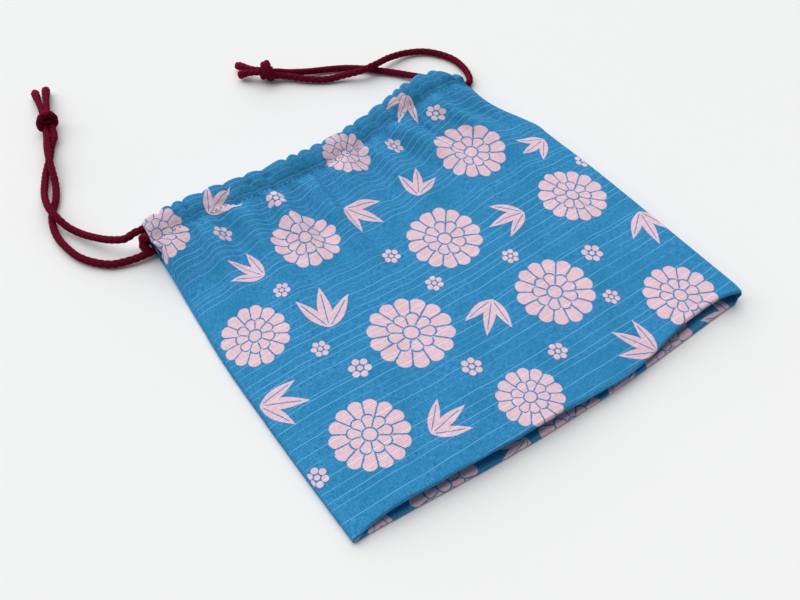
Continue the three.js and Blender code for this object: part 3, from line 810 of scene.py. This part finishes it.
def cloth_piece(name, rows, u, gather, tunnel, is_front, start, zero_row, panel=None):
    """Mesh of one run of cloth rows, and the rows' places down the flat cloth."""
    corner = FRONT_CORNER if is_front else BACK_CORNER
    places = []
    for y, z, hem, cut in rows:
        half = side_edge(y, u, gather) - SEAM_ROLL - corner * corner_share(u, y)
        half = half + edge_shift(u, y) * (1 - hem if is_front else 1)
        line = np.stack([u * half - cut * smooth(u, *OPEN_SPAN), y, z], 1)
        left = rolled_end(-1, line[0], half[0], hem, tunnel)
        right = rolled_end(1, line[-1], half[-1], hem, tunnel)
        places.append(np.vstack([left[::-1], line, right]))
    places = np.array(places)
    across, down, row_down = flat_places(places, u, start, zero_row, panel)
    motif, near = print_fields(across, down)
    faces = grid_faces(*places.shape[:2], False).tolist()
    values = {"motif": motif, "near": near}
    mesh = mesh_of(name, places.reshape(-1, 3), faces, values, np.stack([across, down], 1))
    return mesh, row_down


# Lines in space
def catmull(points, per_span):
    """Smooth line through the points, its knots spaced by the root of their distance."""
    p = np.asarray(points, float)
    p = np.vstack([2 * p[0] - p[1], p, 2 * p[-1] - p[-2]])
    t = np.linspace(0, 1, per_span, endpoint=False)[:, None]
    line = []
    for a, b, c, d in zip(p, p[1:], p[2:], p[3:]):
        ta, tb, tc = (max(np.linalg.norm(q - r) ** 0.5, TINY) for q, r in ((b, a), (c, b), (d, c)))
        m = ((b - a) / ta - (c - a) / (ta + tb) + (c - b) / tb) * tb
        n = ((c - b) / tb - (d - b) / (tb + tc) + (d - c) / tc) * tb
        line.append(b + m * t + (3 * (c - b) - 2 * m - n) * t**2 + (2 * (b - c) + m + n) * t**3)
    return np.vstack([*line, p[-2:-1]])


def arc(points):
    """Length along a line up to each of its points."""
    return np.concatenate([[0], np.cumsum(np.linalg.norm(np.diff(points, axis=0), axis=1))])


def points_at(at, along, line):
    return np.stack([np.interp(at, along, line[:, k]) for k in range(3)], 1)


def resample(line, step):
    along = arc(line)
    count = max(int(round(along[-1] / step)), 2)
    return points_at(np.linspace(0, along[-1], count + 1), along, line)


def rings(line, sides):
    """Angles round a line, and the direction to each of them at each point, without twist."""
    tangent = np.gradient(line, axis=0)
    tangent /= np.linalg.norm(tangent, axis=1)[:, None]
    first = np.cross(tangent[0], UP)
    normal = [first / np.linalg.norm(first)]
    for now in tangent[1:]:
        n = normal[-1] - now * np.dot(normal[-1], now)
        normal.append(n / np.linalg.norm(n))
    normal = np.array(normal)
    other = np.cross(tangent, normal)
    angle = np.linspace(0, 2 * np.pi, sides, endpoint=False)
    out = normal[:, None] * np.cos(angle)[None, :, None] + other[:, None] * np.sin(angle)[None, :, None]
    return angle, out


# Cord routes
def run_end(side):
    tunnel_y, _ = back_tunnel(np.float64(side))
    return float(side_edge(tunnel_y - CORD_OFFSET, side, 0)) + RUN_OUT


def casing_run(tunnel, gather, offset):
    """Points of a cord in a casing, from left to right, with one past each end."""
    u = np.linspace(-1, 1, RUN_POINTS + 1)
    y, z = tunnel(u)
    y = y + offset
    run = np.stack([u * side_edge(y, u, gather), y, z], 1)
    first, last = run[0].copy(), run[-1].copy()
    first[0], last[0] = -run_end(-1), run_end(1)
    return np.vstack([first, run, last])


def knot_frame(side, knot):
    """Casing end that the knot is placed from, and the knot's heading, crosswise direction and middle."""
    y, _ = front_tunnel(np.float64(side))
    origin = np.array([side * float(side_edge(y, side, FRONT_GATHER)), float(y), 0])
    heading = np.array([*knot["heading"], 0.0])
    heading /= np.linalg.norm(heading)
    across = np.array([heading[1], -heading[0], 0])
    middle = origin + np.array([*knot["place"], KNOT_DIAMETER / 2])
    return origin, heading, across, middle


def strand_line(side, knot, run, points, shift):
    """Centreline of a free strand, from inside the casing into its knot."""
    origin, heading, across, middle = knot_frame(side, knot)
    free = origin + np.array(points)
    free[-1] -= across * math.copysign(STRAND_SQUEEZE, shift)
    face = middle - heading * (KNOT_LENGTH / 2) + across * (ENTRY_PINCH * shift)
    face[2] = STRAND_ENTRY
    before = face - heading * ENTRY_RUN
    before[2] = (points[-1][2] + STRAND_ENTRY) / 2
    return np.vstack([run[STRAND_OVERLAP - 1 :: -1], free, before, face, face + heading * INTO_KNOT])


def cord_lines(side, knot, front_strand, back_strand, turn_shape, turn_from):
    """Centrelines of a cord's front strand, back strand and the run through both casings."""
    offset = -side * CORD_OFFSET
    front = casing_run(front_tunnel, FRONT_GATHER, offset)
    back = casing_run(back_tunnel, 0, -offset)
    settled = 2
    if side > 0:
        front, back = front[::-1][EARLY_EXIT:].copy(), back[::-1]
        settled = 0
    front[settled:-2, 2] -= CORD_SETTLE
    start, end = front[-1 - turn_from], back[-1 - turn_from]
    turn = [
        (start[0] - side * out, start[1] + shift, lerp(start[2], end[2], down))
        for out, shift, down in turn_shape
    ]
    run = np.vstack([front[1:-turn_from], turn, back[::-1][turn_from:-1]])
    front_line = strand_line(side, knot, front, front_strand, KNOT_OFFSET)
    back_line = strand_line(side, knot, back, back_strand, -KNOT_OFFSET)
    return front_line, back_line, run


# Cords and knots
def braid(angle, along):
    """Height of the braid's surface: each set lies on top in turn round the cord."""
    top = np.full(np.broadcast(angle, along).shape, -1.0)
    for way in (1, -1):
        turn = BRAID_STRANDS * (angle * way - 2 * np.pi * along / BRAID_PITCH)
        off = (turn / (2 * np.pi) + 0.5) % 1 - 0.5
        crest = np.sqrt(np.clip(1 - (off / BRAID_HALF) ** 2, 0, 1))
        over = BRAID_PASS * way * np.cos(BRAID_STRANDS * angle)
        top = np.maximum(top, BRAID_CREST * crest - BRAID_SINK + over)
    return np.clip(top, *BRAID_LIMITS)


def cord_points(line, step, sides, radius, girth=None):
    """Points by ring and side of a braided cord, the braid's height there, and the centreline."""
    centre = resample(line, step)
    along = arc(centre)
    angle, out = rings(centre, sides)
    height = braid(angle[None, :], along[:, None])
    size = radius - BRAID_RELIEF + BRAID_RELIEF * height
    if girth is not None:
        size = size * girth(along / along[-1])[:, None]
    return centre[:, None] + out * size[..., None], height, centre


def tube_piece(name, parts, material):
    """One piece of several capped tubes, each (points by ring and side, height, tip share by ring)."""
    places, faces, heights, tips = [], [], [], []
    base = 0
    for points, height, tip in parts:
        count, sides, _ = points.shape
        places.append(points.reshape(-1, 3))
        heights.append(height.ravel())
        tips.append(np.repeat(tip, sides))
        faces += (grid_faces(count, sides, True) + base).tolist()
        faces.append(list(range(base + sides - 1, base - 1, -1)))
        last = base + (count - 1) * sides
        faces.append(list(range(last, last + sides)))
        base += count * sides
    places = np.vstack(places)
    places[:, 2] = np.maximum(places[:, 2], FLOOR_CLEARANCE)
    values = {"height": np.concatenate(heights), "tip": np.concatenate(tips)}
    return link(name, mesh_of(name, places, faces, values), material)


def make_cord(name, line, material, step, sides):
    points, height, centre = cord_points(line, step, sides, CORD_DIAMETER / 2)
    return tube_piece(name, [(points, height, np.zeros(len(points)))], material), centre


def tail_girth(share):
    """Thickness of a cut end along its length: it frays wider toward its rounded tip."""
    cap = np.sqrt(np.clip(1 - ((share - (1 - TIP_CAP)) / TIP_CAP).clip(0, 1) ** 2, 0, 1))
    return (TAIL_GIRTH + FRAY_SWELL * smooth(share, *FRAY_SPAN)) * np.maximum(cap, TIP_LEAST)


def make_knot(name, side, knot, material):
    """Two turns of cord wound tight round the strands, and the two cut ends."""
    origin, heading, across, middle = knot_frame(side, knot)
    parts = []
    for place, lean, loop in KNOT_WRAPS:
        share = np.linspace(-WRAP_REACH, WRAP_REACH, WRAP_POINTS)
        t = share * 2 * np.pi
        grip = loop * (1 - smooth(np.abs(share), WRAP_TUCK_FROM, WRAP_REACH) * WRAP_TUCK)
        spot = place + WRAP_DRIFT * np.sin(t * 0.5) + lean * grip * np.cos(t + LEAN_START)
        sideways = grip * np.sin(t + WRAP_START)
        upward = grip * np.cos(t + WRAP_START)
        wrap = middle + heading * spot[:, None] + across * sideways[:, None] + UP * upward[:, None]
        points, height, _ = cord_points(wrap, *WRAP_MESH, WRAP_RADIUS)
        parts.append((points, height, np.zeros(len(points))))
    for (x, y), shift in zip(knot["tails"], TAIL_SHIFTS):
        start = middle - heading * INTO_KNOT + across * shift
        face = middle + heading * (KNOT_LENGTH / 2) + across * shift
        tip = origin + np.array([x, y, CORD_DIAMETER / 2 + TAIL_LIFT])
        curve = (face + tip) / 2 + heading * TAIL_BEND_ON + UP * TAIL_BEND_UP
        line = catmull([start, face, curve, tip], TAIL_SPAN_POINTS)
        points, height, centre = cord_points(line, *TAIL_MESH, CORD_DIAMETER / 2, tail_girth)
        along = arc(centre)
        frayed = smooth(along / along[-1], *TIP_SPAN)
        parts.append((points, height * (1 - TIP_SMOOTHING * frayed[:, None]), frayed))
    return tube_piece(name, parts, material)


def make_stitches(name, material):
    u = np.linspace(-STITCH_SPAN, STITCH_SPAN, STITCH_LINE_POINTS)
    y = front_stitch(u)
    z = front_z(u, y) + panel_detail(u, y)
    seam = np.stack([u * (side_edge(y, u, FRONT_GATHER) - SEAM_ROLL), y, z], 1)
    along = arc(seam)
    share = np.linspace(0, 1, STITCH_RINGS)
    bow = np.linspace(-1, 1, STITCH_RINGS) ** 4
    size = STITCH_RADIUS * np.sqrt(np.clip(1.02 - bow, 0.02, 1))
    no_braid = np.zeros((STITCH_RINGS, STITCH_SIDES))
    parts = []
    for begin in np.arange(STITCH_START, along[-1] - STITCH_LENGTH, STITCH_PITCH):
        line = points_at(begin + STITCH_LENGTH * share, along, seam)
        line[:, 2] += STITCH_RAISE - STITCH_DIP * bow
        _, out = rings(line, STITCH_SIDES)
        parts.append((line[:, None] + out * size[:, None, None], no_braid, np.zeros(STITCH_RINGS)))
    return tube_piece(name, parts, material)


# Shader nodes
def new_material(name):
    made = bpy.data.materials.new(name)
    made.use_nodes = True
    tree = made.node_tree
    return made, tree, tree.nodes["Principled BSDF"]


def node(tree, kind, inputs=None, **settings):
    made = tree.nodes.new(kind)
    for key, value in settings.items():
        setattr(made, key, value)
    for key, value in (inputs or {}).items():
        value = value.socket if isinstance(value, Num) else value
        if isinstance(value, bpy.types.NodeSocket):
            tree.links.new(value, made.inputs[key])
        else:
            made.inputs[key].default_value = value
    return made


def math_method(kind):
    return lambda self, *others: self.op(kind, *others)


class Num:
    """A number that shader nodes work out."""

    __add__ = math_method("ADD")
    __sub__ = math_method("SUBTRACT")
    __mul__ = math_method("MULTIPLY")
    __abs__ = math_method("ABSOLUTE")
    most = math_method("MAXIMUM")

    def __init__(self, tree, socket):
        self.tree = tree
        self.socket = socket

    def op(self, kind, *others):
        inputs = dict(enumerate((self, *others)))
        return Num(self.tree, node(self.tree, "ShaderNodeMath", inputs, operation=kind).outputs[0])

    def __rsub__(self, other):
        return self.op("MULTIPLY_ADD", -1.0, other)

    def ramp(self, low, high, to_low=0.0, to_high=1.0):
        inputs = {"Value": self, "From Min": low, "From Max": high, "To Min": to_low, "To Max": to_high}
        made = node(self.tree, "ShaderNodeMapRange", inputs, interpolation_type="SMOOTHSTEP")
        return Num(self.tree, made.outputs["Result"])

    def below(self, limit, soft):
        return self.ramp(limit - soft, limit + soft, 1.0, 0.0)


def attribute(tree, name, output="Fac"):
    return Num(tree, node(tree, "ShaderNodeAttribute", attribute_name=name).outputs[output])


def split(tree, vector):
    return [Num(tree, part) for part in node(tree, "ShaderNodeSeparateXYZ", {0: vector}).outputs]


def mix(tree, factor, a, b, blend="MIX"):
    """Colour from a to b; 0, 6, 7 and 2 are the mix node's sockets for colours."""
    settings = {"data_type": "RGBA", "blend_type": blend, "clamp_factor": True}
    return node(tree, "ShaderNodeMix", {0: factor, 6: a, 7: b}, **settings).outputs[2]


def srgb(colour):
    """Linear colour of an sRGB one that is written from 0 to 255."""

    def linear(c):
        c /= 255
        return c / 12.92 if c <= 0.04045 else ((c + 0.055) / 1.055) ** 2.4

    return (*(linear(c) for c in colour), 1.0)


def noise(tree, vector, scale=1.0, detail=1.0):
    inputs = {"Vector": vector, "Scale": scale, "Detail": detail, "Roughness": 0.5}
    return Num(tree, node(tree, "ShaderNodeTexNoise", inputs).outputs["Fac"])


def plane(tree, x, y):
    return node(tree, "ShaderNodeCombineXYZ", {0: x, 1: y}).outputs[0]


def object_place(tree):
    return node(tree, "ShaderNodeTexCoord").outputs["Object"]


def raise_threads(tree, shader, height, distance):
    bump = node(tree, "ShaderNodeBump", {"Height": height, "Strength": 0.4, "Distance": distance})
    tree.links.new(bump.outputs["Normal"], shader.inputs["Normal"])


def dress(tree, shader, colour, roughness, specular=0.5):
    tree.links.new(colour, shader.inputs["Base Color"])
    shader.inputs["Roughness"].default_value = roughness
    shader.inputs["Specular IOR Level"].default_value = specular


# Motifs of the print
def petal_ring(angle, radius, count, low, high, turn):
    """Distance outside a ring of round-ended petals, and distance from the lines between them."""
    off = (angle * (count / (2 * math.pi)) + turn).op("FRACT") - 0.5
    bow = (1.0 - off * off * 4.0).most(0.0).op("SQRT")
    edge = radius - (bow * (high - low) + low)
    line = (0.5 - abs(off)) * radius * (2 * math.pi / count)
    return edge, line


def rosette(x, y):
    """Two rings of petals round a heart, with open lines between them."""
    radius = (x * x + y * y).op("SQRT")
    angle = y.op("ARCTAN2", x)
    outer, outer_line = petal_ring(angle, radius, *OUTER_PETALS)
    inner, inner_line = petal_ring(angle, radius, *INNER_PETALS)
    heart = radius - HEART
    in_inner = inner.below(0.0, 0.02)
    rays = outer_line.below(PETAL_LINE, LINE_SOFT) * (1.0 - in_inner)
    short = inner_line.below(SHORT_LINE, LINE_SOFT) * in_inner * (1.0 - heart.below(0.03, 0.02))
    rounds = abs(inner).below(RING_LINE, LINE_SOFT).most(abs(heart).below(RING_LINE, LINE_SOFT))
    return outer.below(0.0, 0.012) * (1.0 - rays.most(short).most(rounds))


def leaf(x, y, turn, length, width):
    """A pointed leaf from the foot of the spray, with its middle vein left open."""
    c, s = math.cos(turn), math.sin(turn)
    foot = y + LEAF_FOOT
    along = (x * c + foot * s) * (1 / length)
    off = abs(foot * c - x * s)
    inside = along.most(0.0).op("MINIMUM", 1.0).op("POWER", LEAF_CURVE)
    wide = (inside * math.pi).op("SINE") * width
    vein = off.below(VEIN_HALF, 0.012) * abs(along - 0.45).below(0.36, 0.02)
    return (off - wide).below(-0.01, 0.014) * (1.0 - vein)


def spray(x, y):
    """Three leaves from one foot."""
    upright = math.pi / 2
    leaves = leaf(x, y, upright, *MIDDLE_LEAF)
    for turn in (upright - LEAF_SPREAD, upright + LEAF_SPREAD):
        leaves = leaves.most(leaf(x, y, turn, *SIDE_LEAF))
    return leaves


def dot_ring(x, y):
    """Dots in a ring round a smaller one."""
    radius = (x * x + y * y).op("SQRT")
    off = (y.op("ARCTAN2", x) * (DOT_COUNT / (2 * math.pi))).op("FRACT") - 0.5
    turn = off * (2 * math.pi / DOT_COUNT)
    dx = radius * turn.op("COSINE") - DOT_PLACE
    dy = radius * turn.op("SINE")
    dots = (dx * dx + dy * dy).op("SQRT").below(DOT_RADIUS, DOT_SOFT)
    return dots.most(radius.below(MIDDLE_DOT, DOT_SOFT))


def print_share(tree, tone):
    """1 on the motifs, 0 on the ground between them, with edges ragged by the threads."""
    x, y, kind = split(tree, attribute(tree, "motif", "Vector"))
    ragged = (tone - 0.5) * 0.05
    x, y = x + ragged, y + ragged
    rosettes, sprays, dot_rings = (
        motif(x, y) * abs(kind - float(index)).below(0.5, 0.1)
        for index, motif in enumerate((rosette, spray, dot_ring))
    )
    near = attribute(tree, "near").ramp(0.45, 0.55)
    return rosettes.most(sprays).most(dot_rings) * near * 0.97


# Materials; the cloth's work in millimetres of the flat cloth
def slub_share(tree, across, down, from_fold):
    """Thicker, paler weft threads at uneven spacing, closer together toward the mouth."""
    drift = noise(tree, plane(tree, across * 0.012, down * 0.05))
    place = from_fold * (from_fold * SLUB_CROWDING + SLUB_RATE) + drift * SLUB_DRIFT + SLUB_START
    rate = from_fold * (2 * SLUB_CROWDING) + SLUB_RATE
    inputs = {"W": place, "Scale": 1.0, "Randomness": SLUB_RANDOM}
    cell = node(tree, "ShaderNodeTexVoronoi", inputs, voronoi_dimensions="1D")
    line = Num(tree, cell.outputs["Distance"]).op("DIVIDE", rate).ramp(*SLUB_HALF, 1.0, 0.0)
    own = node(tree, "ShaderNodeSeparateColor", {0: cell.outputs["Color"]})
    fade = noise(tree, plane(tree, across * 0.028, Num(tree, own.outputs[0]) * 90.0))
    return line * Num(tree, own.outputs[1]).ramp(0.0, 0.7) * fade.ramp(0.18, 0.46)


def cloth_material():
    made, tree, shader = new_material("printed_cotton")
    flat = node(tree, "ShaderNodeUVMap", uv_map="cloth").outputs["UV"]
    across, down, _ = split(tree, flat)
    across, down = across * MILLIMETRES, down * MILLIMETRES
    from_fold = abs(down - MILLIMETRES * FLAT_REACH / 2)
    # Threads of uneven thickness, one set each way
    weft = noise(tree, plane(tree, across * THREAD_ALONG, down * THREAD_ACROSS))
    warp = noise(tree, plane(tree, across * THREAD_ACROSS, down * THREAD_ALONG))
    tone = weft * 0.5 + warp * 0.5
    turn = 2 * math.pi / WEAVE_PITCH
    weave = ((across * turn).op("SINE") + (down * turn).op("SINE")) * 0.5
    slub = slub_share(tree, across, down, from_fold)
    # Blue ground and pink print
    cloud = noise(tree, plane(tree, across * 0.05, down * 0.05), detail=2.0)
    blue = mix(tree, tone.ramp(0.32, 0.68), srgb(DEEP_BLUE), srgb(LIGHT_BLUE))
    blue = mix(tree, cloud.ramp(0.35, 0.7) * 0.4, blue, srgb(CLOUD_BLUE))
    blue = mix(tree, slub * 0.7, blue, srgb(SLUB_BLUE))
    pink = mix(tree, tone.ramp(0.34, 0.66), srgb(DEEP_PINK), srgb(LIGHT_PINK))
    pink = mix(tree, slub * 0.9, pink, srgb(SLUB_PINK))
    colour = mix(tree, print_share(tree, tone), blue, pink)
    colour = mix(tree, weave.ramp(-1.0, 1.0) * 0.17, colour, WEAVE_SHADE, "MULTIPLY")
    # The casings are painted a shade darker: painted shade for their puckered slopes that face away from the
    # light
    casing_start = MILLIMETRES * (FLAT_REACH / 2 - CASING_FLAT)
    painted_casing_shade = from_fold.ramp(casing_start - 0.8, casing_start + 0.8)
    colour = mix(tree, painted_casing_shade * 0.13, colour, SHADE_BLACK)
    dress(tree, shader, colour, 0.95, 0.04)
    raise_threads(tree, shader, weave * 0.3 + tone * 0.9 + slub * 0.9, 0.0003)
    return made


def cord_material():
    made, tree, shader = new_material("braided_cord")
    height = attribute(tree, "height")
    tip = attribute(tree, "tip")
    fibre = noise(tree, object_place(tree), 2600.0, 2.0)
    # Braid valleys painted dark and crests painted light by their height: painted shade and painted highlight
    body = mix(tree, height.ramp(-0.6, 0.75), srgb(SHADED_CORD_VALLEY), srgb(LIT_CORD_CREST))
    body = mix(tree, fibre.ramp(0.45, 0.75) * 0.25, body, srgb(FIBRE_CORD))
    body = mix(tree, tip * 0.8, body, srgb(TIP_CORD))
    dress(tree, shader, body, 0.8, 0.02)
    raise_threads(tree, shader, fibre, 0.0002)
    return made


def thread_material():
    made, tree, shader = new_material("sewing_thread")
    shade = noise(tree, object_place(tree), 1800.0, 2.0)
    tone = mix(tree, shade, srgb(DEEP_THREAD), srgb(LIGHT_THREAD))
    dress(tree, shader, tone, 0.7)
    return made


def floor_material():
    made, tree, shader = new_material("pale_table")
    cloud = noise(tree, object_place(tree), 1.6)
    tone = mix(tree, cloud, srgb(DEEP_FLOOR), srgb(LIGHT_FLOOR))
    dress(tree, shader, tone, 0.8, 0.2)
    return made


cloth = cloth_material()
cord = cord_material()
thread = thread_material()

# Drawcords
for word, shape in (("left", LEFT_CORD), ("right", RIGHT_CORD)):
    front_line, back_line, run_line = cord_lines(*shape)
    knot_piece = make_knot(word + "_knot_turns", *shape[:2], cord)
    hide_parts(word + "_knot")
    for which, line in (("front", front_line), ("back", back_line)):
        piece, centre = make_cord(f"{word}_{which}_strand", catmull(line, SPAN_POINTS), cord, *STRAND_MESH)
        centre[::4].tolist() + [centre[-1].tolist()]
        if which == "front":
            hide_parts(word + "_cord")
    make_cord(word + "_casing_run", catmull(run_line, SPAN_POINTS), cord, *RUN_MESH)

# Cloth and stitches
u_front = np.linspace(-1, 1, FRONT_COLUMNS)
rows, mouth_row, panel = front_rows(u_front)
front_mesh, front_v = cloth_piece(
    "pouch_front", rows, u_front, FRONT_GATHER, front_tunnel, True, 0.0, mouth_row, panel
)
pouch_front = link("pouch_front", front_mesh, cloth)
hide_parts("pouch_body")
u_back = np.linspace(-1, 1, BACK_COLUMNS)
rows = back_rows(u_back)
back_mesh, back_v = cloth_piece("pouch_back", rows, u_back, 0.0, back_tunnel, False, float(front_v[-1]), 0)
pouch_back = link("pouch_back", back_mesh, cloth)
stitches = make_stitches("casing_stitches", thread)

float(front_v[-1] - front_v[0])
float(back_v[-1] - back_v[0])

# Table
bpy.ops.mesh.primitive_plane_add(size=TABLE_SIZE, location=(0, 0, -TABLE_DROP))
table = bpy.context.object
table.name = "table"
table.data.materials.append(floor_material())


# Camera and light; azimuth 0 stands off toward -Y and grows toward +X
def stand_off(name, data, azimuth, elevation, distance, target):
    """Object that stands off from the target at these angles and looks back at it."""
    turn, rise = math.radians(azimuth), math.radians(elevation)
    toward = Vector((math.sin(turn) * math.cos(rise), -math.cos(turn) * math.cos(rise), math.sin(rise)))
    made = bpy.data.objects.new(name, data)
    bpy.context.scene.collection.objects.link(made)
    made.location = target + toward * distance
    made.rotation_mode = "QUATERNION"
    made.rotation_quaternion = (-toward).to_track_quat("-Z", "Y")
    return made


lens = bpy.data.cameras.new("camera")
lens.lens = FOCAL_LENGTH
lens.sensor_width = SENSOR_WIDTH
lens.clip_start, lens.clip_end = CLIP
bpy.context.scene.camera = stand_off(
    "camera", lens, CAMERA_AZIMUTH, CAMERA_ELEVATION, CAMERA_DISTANCE, CAMERA_TARGET
)

window = bpy.data.lights.new("window", "SUN")
window.energy = WINDOW_STRENGTH
window.angle = math.radians(WINDOW_SPREAD)
window.color = WINDOW_COLOUR
stand_off("window", window, WINDOW_AZIMUTH, WINDOW_ELEVATION, 1.0, Vector((0, 0, 0)))

world = bpy.data.worlds.new("studio")
world.use_nodes = True
bpy.context.scene.world = world
background = world.node_tree.nodes["Background"]
background.inputs["Color"].default_value = SKY_COLOUR
seen = node(world.node_tree, "ShaderNodeLightPath").outputs["Is Camera Ray"]
sky = Num(world.node_tree, seen).op("MULTIPLY_ADD", BACKDROP - SKY, SKY)
world.node_tree.links.new(sky.socket, background.inputs["Strength"])
bpy.context.scene.view_settings.view_transform = "Standard"
